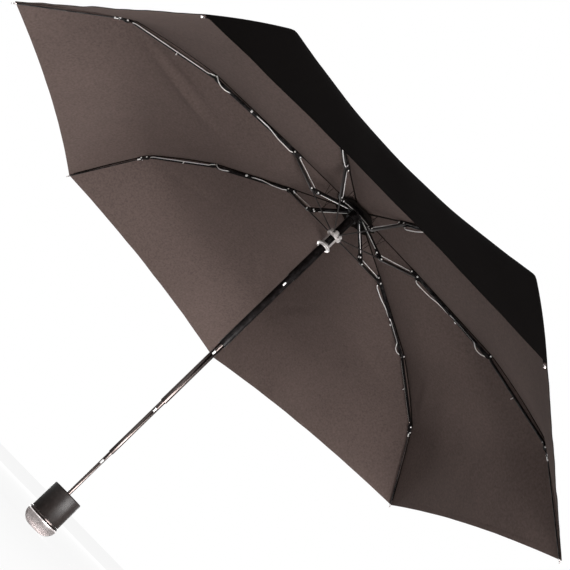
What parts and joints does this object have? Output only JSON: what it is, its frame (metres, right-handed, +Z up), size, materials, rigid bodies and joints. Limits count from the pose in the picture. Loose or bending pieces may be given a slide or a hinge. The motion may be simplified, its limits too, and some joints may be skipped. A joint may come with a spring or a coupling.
{
  "type": "folding umbrella",
  "caption": "Compact folding umbrella, open: dark cloth canopy on hinged Z-folding ribs, telescoping shaft with spring catches, short grip with a chrome end cap.",
  "frame": {"origin": "centre of the flat foot of the handle's end cap", "axes": "+Z runs up the shaft from the handle to the crown; the first rib points along +Y"},
  "size_m": [0.8814, 0.8595, 0.5518],
  "materials": {
    "grip": "satin black moulded plastic",
    "chrome": "polished chrome plate",
    "black_steel": "black plated steel",
    "bright_steel": "bright drawn steel",
    "cast_grey": "plain cast metal",
    "cloth": "dark woven polyester"
  },
  "bodies": {
    "handle": {"handle_body": "grip", "handle_ring": "chrome", "handle_cap": "chrome", "tube_5": "bright_steel", "catch_4": "bright_steel"},
    "shaft_4": {"tube_4": "bright_steel", "catch_3": "bright_steel"},
    "shaft_3": {"tube_3": "black_steel", "catch_2": "bright_steel"},
    "shaft_2": {"tube_2": "black_steel", "catch_1": "bright_steel"},
    "top_shaft": {"tube_1": "black_steel", "crown": "black_steel", "top_cap": "black_steel", "canopy": "cloth"},
    "runner": {"runner": "cast_grey"},
    "runner_catch": {"runner_catch": "bright_steel"},
    "crown_link_1": {"crown_link_1": "black_steel"},
    "stretcher_1": {"stretcher_1": "black_steel"},
    "inner_rib_1": {"inner_rib_1": "black_steel"},
    "parallel_bar_1": {"parallel_bar_1": "bright_steel"},
    "middle_rib_1": {"middle_rib_1": "bright_steel"},
    "outer_rib_1": {"outer_rib_1": "black_steel"},
    "crown_link_2": {"crown_link_2": "black_steel"},
    "stretcher_2": {"stretcher_2": "black_steel"},
    "inner_rib_2": {"inner_rib_2": "black_steel"},
    "parallel_bar_2": {"parallel_bar_2": "bright_steel"},
    "middle_rib_2": {"middle_rib_2": "bright_steel"},
    "outer_rib_2": {"outer_rib_2": "black_steel"},
    "crown_link_3": {"crown_link_3": "black_steel"},
    "stretcher_3": {"stretcher_3": "black_steel"},
    "inner_rib_3": {"inner_rib_3": "black_steel"},
    "parallel_bar_3": {"parallel_bar_3": "bright_steel"},
    "middle_rib_3": {"middle_rib_3": "bright_steel"},
    "outer_rib_3": {"outer_rib_3": "black_steel"},
    "crown_link_4": {"crown_link_4": "black_steel"},
    "stretcher_4": {"stretcher_4": "black_steel"},
    "inner_rib_4": {"inner_rib_4": "black_steel"},
    "parallel_bar_4": {"parallel_bar_4": "bright_steel"},
    "middle_rib_4": {"middle_rib_4": "bright_steel"},
    "outer_rib_4": {"outer_rib_4": "black_steel"},
    "crown_link_5": {"crown_link_5": "black_steel"},
    "stretcher_5": {"stretcher_5": "black_steel"},
    "inner_rib_5": {"inner_rib_5": "black_steel"},
    "parallel_bar_5": {"parallel_bar_5": "bright_steel"},
    "middle_rib_5": {"middle_rib_5": "bright_steel"},
    "outer_rib_5": {"outer_rib_5": "black_steel"},
    "crown_link_6": {"crown_link_6": "black_steel"},
    "stretcher_6": {"stretcher_6": "black_steel"},
    "inner_rib_6": {"inner_rib_6": "black_steel"},
    "parallel_bar_6": {"parallel_bar_6": "bright_steel"},
    "middle_rib_6": {"middle_rib_6": "bright_steel"},
    "outer_rib_6": {"outer_rib_6": "black_steel"},
    "crown_link_7": {"crown_link_7": "black_steel"},
    "stretcher_7": {"stretcher_7": "black_steel"},
    "inner_rib_7": {"inner_rib_7": "black_steel"},
    "parallel_bar_7": {"parallel_bar_7": "bright_steel"},
    "middle_rib_7": {"middle_rib_7": "bright_steel"},
    "outer_rib_7": {"outer_rib_7": "black_steel"}
  },
  "joints": [
    {"name": "tube_4_slide", "type": "slide", "parent": "handle", "child": "shaft_4", "axis": [0, 0, 1], "range_m": [-0.051, 0], "deforming": ["catch_4"]},
    {"name": "tube_3_slide", "type": "slide", "parent": "shaft_4", "child": "shaft_3", "axis": [0, 0, 1], "range_m": [-0.077, 0], "deforming": ["catch_3"]},
    {"name": "tube_2_slide", "type": "slide", "parent": "shaft_3", "child": "shaft_2", "axis": [0, 0, 1], "range_m": [-0.092, 0], "deforming": ["catch_2"]},
    {"name": "tube_1_slide", "type": "slide", "parent": "shaft_2", "child": "top_shaft", "axis": [0, 0, 1], "range_m": [-0.108, 0], "deforming": ["catch_1"]},
    {"name": "runner_slide", "type": "slide", "parent": "top_shaft", "child": "runner", "axis": [0, 0, 1], "range_m": [-0.07712, 0], "deforming": ["canopy", "runner_catch"]},
    {"name": "runner_catch_press", "type": "slide", "parent": "top_shaft", "child": "runner_catch", "axis": [0.9749, -0.2225, 0], "range_m": [0, 0.0015], "stiffness_N_per_m": 400},
    {"name": "crown_link_1_hinge", "type": "hinge", "parent": "top_shaft", "child": "crown_link_1", "pos_m": [0, 0.0104, 0.5404], "axis": [1, 0, 0], "range_deg": [-62.09, 0]},
    {"name": "stretcher_1_hinge", "type": "hinge", "parent": "runner", "child": "stretcher_1", "pos_m": [0, 0.0086, 0.4987], "axis": [1, 0, 0], "range_deg": [0, 70.23]},
    {"name": "inner_rib_1_hinge", "type": "hinge", "parent": "stretcher_1", "child": "inner_rib_1", "pos_m": [0, 0.11319, 0.52772], "axis": [1, 0, 0], "range_deg": [-149.73, 0]},
    {"name": "parallel_bar_1_hinge", "type": "hinge", "parent": "inner_rib_1", "child": "parallel_bar_1", "pos_m": [0, 0.10322, 0.52858], "axis": [1, 0, 0], "range_deg": [0, 150.27]},
    {"name": "middle_rib_1_hinge", "type": "hinge", "parent": "inner_rib_1", "child": "middle_rib_1", "pos_m": [0, 0.24509, 0.5095], "axis": [1, 0, 0], "range_deg": [0, 187.75]},
    {"name": "outer_rib_1_hinge", "type": "hinge", "parent": "middle_rib_1", "child": "outer_rib_1", "pos_m": [0, 0.36023, 0.46601], "axis": [1, 0, 0], "range_deg": [-150.55, 0]},
    {"name": "crown_link_2_hinge", "type": "hinge", "parent": "top_shaft", "child": "crown_link_2", "pos_m": [-0.00813, 0.00648, 0.5404], "axis": [0.6235, 0.7818, 0], "range_deg": [-62.09, 0]},
    {"name": "stretcher_2_hinge", "type": "hinge", "parent": "runner", "child": "stretcher_2", "pos_m": [-0.00672, 0.00536, 0.4987], "axis": [0.6235, 0.7818, 0], "range_deg": [0, 70.23]},
    {"name": "inner_rib_2_hinge", "type": "hinge", "parent": "stretcher_2", "child": "inner_rib_2", "pos_m": [-0.08849, 0.07057, 0.52772], "axis": [0.6235, 0.7818, 0], "range_deg": [-149.73, 0]},
    {"name": "parallel_bar_2_hinge", "type": "hinge", "parent": "inner_rib_2", "child": "parallel_bar_2", "pos_m": [-0.0807, 0.06436, 0.52858], "axis": [0.6235, 0.7818, 0], "range_deg": [0, 150.27]},
    {"name": "middle_rib_2_hinge", "type": "hinge", "parent": "inner_rib_2", "child": "middle_rib_2", "pos_m": [-0.19162, 0.15281, 0.5095], "axis": [0.6235, 0.7818, 0], "range_deg": [0, 187.75]},
    {"name": "outer_rib_2_hinge", "type": "hinge", "parent": "middle_rib_2", "child": "outer_rib_2", "pos_m": [-0.28164, 0.2246, 0.46601], "axis": [0.6235, 0.7818, 0], "range_deg": [-150.55, 0]},
    {"name": "crown_link_3_hinge", "type": "hinge", "parent": "top_shaft", "child": "crown_link_3", "pos_m": [-0.01014, -0.00231, 0.5404], "axis": [-0.2225, 0.9749, 0], "range_deg": [-62.09, 0]},
    {"name": "stretcher_3_hinge", "type": "hinge", "parent": "runner", "child": "stretcher_3", "pos_m": [-0.00838, -0.00191, 0.4987], "axis": [-0.2225, 0.9749, 0], "range_deg": [0, 70.23]},
    {"name": "inner_rib_3_hinge", "type": "hinge", "parent": "stretcher_3", "child": "inner_rib_3", "pos_m": [-0.11035, -0.02519, 0.52772], "axis": [-0.2225, 0.9749, 0], "range_deg": [-149.73, 0]},
    {"name": "parallel_bar_3_hinge", "type": "hinge", "parent": "inner_rib_3", "child": "parallel_bar_3", "pos_m": [-0.10063, -0.02297, 0.52858], "axis": [-0.2225, 0.9749, 0], "range_deg": [0, 150.27]},
    {"name": "middle_rib_3_hinge", "type": "hinge", "parent": "inner_rib_3", "child": "middle_rib_3", "pos_m": [-0.23894, -0.05454, 0.5095], "axis": [-0.2225, 0.9749, 0], "range_deg": [0, 187.75]},
    {"name": "outer_rib_3_hinge", "type": "hinge", "parent": "middle_rib_3", "child": "outer_rib_3", "pos_m": [-0.3512, -0.08016, 0.46601], "axis": [-0.2225, 0.9749, 0], "range_deg": [-150.55, 0]},
    {"name": "crown_link_4_hinge", "type": "hinge", "parent": "top_shaft", "child": "crown_link_4", "pos_m": [-0.00451, -0.00937, 0.5404], "axis": [-0.901, 0.4339, 0], "range_deg": [-62.09, 0]},
    {"name": "stretcher_4_hinge", "type": "hinge", "parent": "runner", "child": "stretcher_4", "pos_m": [-0.00373, -0.00775, 0.4987], "axis": [-0.901, 0.4339, 0], "range_deg": [0, 70.23]},
    {"name": "inner_rib_4_hinge", "type": "hinge", "parent": "stretcher_4", "child": "inner_rib_4", "pos_m": [-0.04911, -0.10198, 0.52772], "axis": [-0.901, 0.4339, 0], "range_deg": [-149.73, 0]},
    {"name": "parallel_bar_4_hinge", "type": "hinge", "parent": "inner_rib_4", "child": "parallel_bar_4", "pos_m": [-0.04479, -0.093, 0.52858], "axis": [-0.901, 0.4339, 0], "range_deg": [0, 150.27]},
    {"name": "middle_rib_4_hinge", "type": "hinge", "parent": "inner_rib_4", "child": "middle_rib_4", "pos_m": [-0.10634, -0.22082, 0.5095], "axis": [-0.901, 0.4339, 0], "range_deg": [0, 187.75]},
    {"name": "outer_rib_4_hinge", "type": "hinge", "parent": "middle_rib_4", "child": "outer_rib_4", "pos_m": [-0.1563, -0.32455, 0.46601], "axis": [-0.901, 0.4339, 0], "range_deg": [-150.55, 0]},
    {"name": "crown_link_5_hinge", "type": "hinge", "parent": "top_shaft", "child": "crown_link_5", "pos_m": [0.00451, -0.00937, 0.5404], "axis": [-0.901, -0.4339, 0], "range_deg": [-62.09, 0]},
    {"name": "stretcher_5_hinge", "type": "hinge", "parent": "runner", "child": "stretcher_5", "pos_m": [0.00373, -0.00775, 0.4987], "axis": [-0.901, -0.4339, 0], "range_deg": [0, 70.23]},
    {"name": "inner_rib_5_hinge", "type": "hinge", "parent": "stretcher_5", "child": "inner_rib_5", "pos_m": [0.04911, -0.10198, 0.52772], "axis": [-0.901, -0.4339, 0], "range_deg": [-149.73, 0]},
    {"name": "parallel_bar_5_hinge", "type": "hinge", "parent": "inner_rib_5", "child": "parallel_bar_5", "pos_m": [0.04479, -0.093, 0.52858], "axis": [-0.901, -0.4339, 0], "range_deg": [0, 150.27]},
    {"name": "middle_rib_5_hinge", "type": "hinge", "parent": "inner_rib_5", "child": "middle_rib_5", "pos_m": [0.10634, -0.22082, 0.5095], "axis": [-0.901, -0.4339, 0], "range_deg": [0, 187.75]},
    {"name": "outer_rib_5_hinge", "type": "hinge", "parent": "middle_rib_5", "child": "outer_rib_5", "pos_m": [0.1563, -0.32455, 0.46601], "axis": [-0.901, -0.4339, 0], "range_deg": [-150.55, 0]},
    {"name": "crown_link_6_hinge", "type": "hinge", "parent": "top_shaft", "child": "crown_link_6", "pos_m": [0.01014, -0.00231, 0.5404], "axis": [-0.2225, -0.9749, 0], "range_deg": [-62.09, 0]},
    {"name": "stretcher_6_hinge", "type": "hinge", "parent": "runner", "child": "stretcher_6", "pos_m": [0.00838, -0.00191, 0.4987], "axis": [-0.2225, -0.9749, 0], "range_deg": [0, 70.23]},
    {"name": "inner_rib_6_hinge", "type": "hinge", "parent": "stretcher_6", "child": "inner_rib_6", "pos_m": [0.11035, -0.02519, 0.52772], "axis": [-0.2225, -0.9749, 0], "range_deg": [-149.73, 0]},
    {"name": "parallel_bar_6_hinge", "type": "hinge", "parent": "inner_rib_6", "child": "parallel_bar_6", "pos_m": [0.10063, -0.02297, 0.52858], "axis": [-0.2225, -0.9749, 0], "range_deg": [0, 150.27]},
    {"name": "middle_rib_6_hinge", "type": "hinge", "parent": "inner_rib_6", "child": "middle_rib_6", "pos_m": [0.23894, -0.05454, 0.5095], "axis": [-0.2225, -0.9749, 0], "range_deg": [0, 187.75]},
    {"name": "outer_rib_6_hinge", "type": "hinge", "parent": "middle_rib_6", "child": "outer_rib_6", "pos_m": [0.3512, -0.08016, 0.46601], "axis": [-0.2225, -0.9749, 0], "range_deg": [-150.55, 0]},
    {"name": "crown_link_7_hinge", "type": "hinge", "parent": "top_shaft", "child": "crown_link_7", "pos_m": [0.00813, 0.00648, 0.5404], "axis": [0.6235, -0.7818, 0], "range_deg": [-62.09, 0]},
    {"name": "stretcher_7_hinge", "type": "hinge", "parent": "runner", "child": "stretcher_7", "pos_m": [0.00672, 0.00536, 0.4987], "axis": [0.6235, -0.7818, 0], "range_deg": [0, 70.23]},
    {"name": "inner_rib_7_hinge", "type": "hinge", "parent": "stretcher_7", "child": "inner_rib_7", "pos_m": [0.08849, 0.07057, 0.52772], "axis": [0.6235, -0.7818, 0], "range_deg": [-149.73, 0]},
    {"name": "parallel_bar_7_hinge", "type": "hinge", "parent": "inner_rib_7", "child": "parallel_bar_7", "pos_m": [0.0807, 0.06436, 0.52858], "axis": [0.6235, -0.7818, 0], "range_deg": [0, 150.27]},
    {"name": "middle_rib_7_hinge", "type": "hinge", "parent": "inner_rib_7", "child": "middle_rib_7", "pos_m": [0.19162, 0.15281, 0.5095], "axis": [0.6235, -0.7818, 0], "range_deg": [0, 187.75]},
    {"name": "outer_rib_7_hinge", "type": "hinge", "parent": "middle_rib_7", "child": "outer_rib_7", "pos_m": [0.28164, 0.2246, 0.46601], "axis": [0.6235, -0.7818, 0], "range_deg": [-150.55, 0]}
  ],
  "couplings": [
    {"joint": "crown_link_1_hinge", "follows": "runner_slide", "rad_per_m": 14.04},
    {"joint": "stretcher_1_hinge", "follows": "runner_slide", "rad_per_m": -15.882},
    {"joint": "inner_rib_1_hinge", "follows": "runner_slide", "rad_per_m": 33.874},
    {"joint": "parallel_bar_1_hinge", "follows": "runner_slide", "rad_per_m": -33.998},
    {"joint": "middle_rib_1_hinge", "follows": "runner_slide", "rad_per_m": -42.479},
    {"joint": "outer_rib_1_hinge", "follows": "runner_slide", "rad_per_m": 34.06},
    {"joint": "crown_link_2_hinge", "follows": "runner_slide", "rad_per_m": 14.04},
    {"joint": "stretcher_2_hinge", "follows": "runner_slide", "rad_per_m": -15.882},
    {"joint": "inner_rib_2_hinge", "follows": "runner_slide", "rad_per_m": 33.874},
    {"joint": "parallel_bar_2_hinge", "follows": "runner_slide", "rad_per_m": -33.998},
    {"joint": "middle_rib_2_hinge", "follows": "runner_slide", "rad_per_m": -42.479},
    {"joint": "outer_rib_2_hinge", "follows": "runner_slide", "rad_per_m": 34.06},
    {"joint": "crown_link_3_hinge", "follows": "runner_slide", "rad_per_m": 14.04},
    {"joint": "stretcher_3_hinge", "follows": "runner_slide", "rad_per_m": -15.882},
    {"joint": "inner_rib_3_hinge", "follows": "runner_slide", "rad_per_m": 33.874},
    {"joint": "parallel_bar_3_hinge", "follows": "runner_slide", "rad_per_m": -33.998},
    {"joint": "middle_rib_3_hinge", "follows": "runner_slide", "rad_per_m": -42.479},
    {"joint": "outer_rib_3_hinge", "follows": "runner_slide", "rad_per_m": 34.06},
    {"joint": "crown_link_4_hinge", "follows": "runner_slide", "rad_per_m": 14.04},
    {"joint": "stretcher_4_hinge", "follows": "runner_slide", "rad_per_m": -15.882},
    {"joint": "inner_rib_4_hinge", "follows": "runner_slide", "rad_per_m": 33.874},
    {"joint": "parallel_bar_4_hinge", "follows": "runner_slide", "rad_per_m": -33.998},
    {"joint": "middle_rib_4_hinge", "follows": "runner_slide", "rad_per_m": -42.479},
    {"joint": "outer_rib_4_hinge", "follows": "runner_slide", "rad_per_m": 34.06},
    {"joint": "crown_link_5_hinge", "follows": "runner_slide", "rad_per_m": 14.04},
    {"joint": "stretcher_5_hinge", "follows": "runner_slide", "rad_per_m": -15.882},
    {"joint": "inner_rib_5_hinge", "follows": "runner_slide", "rad_per_m": 33.874},
    {"joint": "parallel_bar_5_hinge", "follows": "runner_slide", "rad_per_m": -33.998},
    {"joint": "middle_rib_5_hinge", "follows": "runner_slide", "rad_per_m": -42.479},
    {"joint": "outer_rib_5_hinge", "follows": "runner_slide", "rad_per_m": 34.06},
    {"joint": "crown_link_6_hinge", "follows": "runner_slide", "rad_per_m": 14.04},
    {"joint": "stretcher_6_hinge", "follows": "runner_slide", "rad_per_m": -15.882},
    {"joint": "inner_rib_6_hinge", "follows": "runner_slide", "rad_per_m": 33.874},
    {"joint": "parallel_bar_6_hinge", "follows": "runner_slide", "rad_per_m": -33.998},
    {"joint": "middle_rib_6_hinge", "follows": "runner_slide", "rad_per_m": -42.479},
    {"joint": "outer_rib_6_hinge", "follows": "runner_slide", "rad_per_m": 34.06},
    {"joint": "crown_link_7_hinge", "follows": "runner_slide", "rad_per_m": 14.04},
    {"joint": "stretcher_7_hinge", "follows": "runner_slide", "rad_per_m": -15.882},
    {"joint": "inner_rib_7_hinge", "follows": "runner_slide", "rad_per_m": 33.874},
    {"joint": "parallel_bar_7_hinge", "follows": "runner_slide", "rad_per_m": -33.998},
    {"joint": "middle_rib_7_hinge", "follows": "runner_slide", "rad_per_m": -42.479},
    {"joint": "outer_rib_7_hinge", "follows": "runner_slide", "rad_per_m": 34.06}
  ]
}
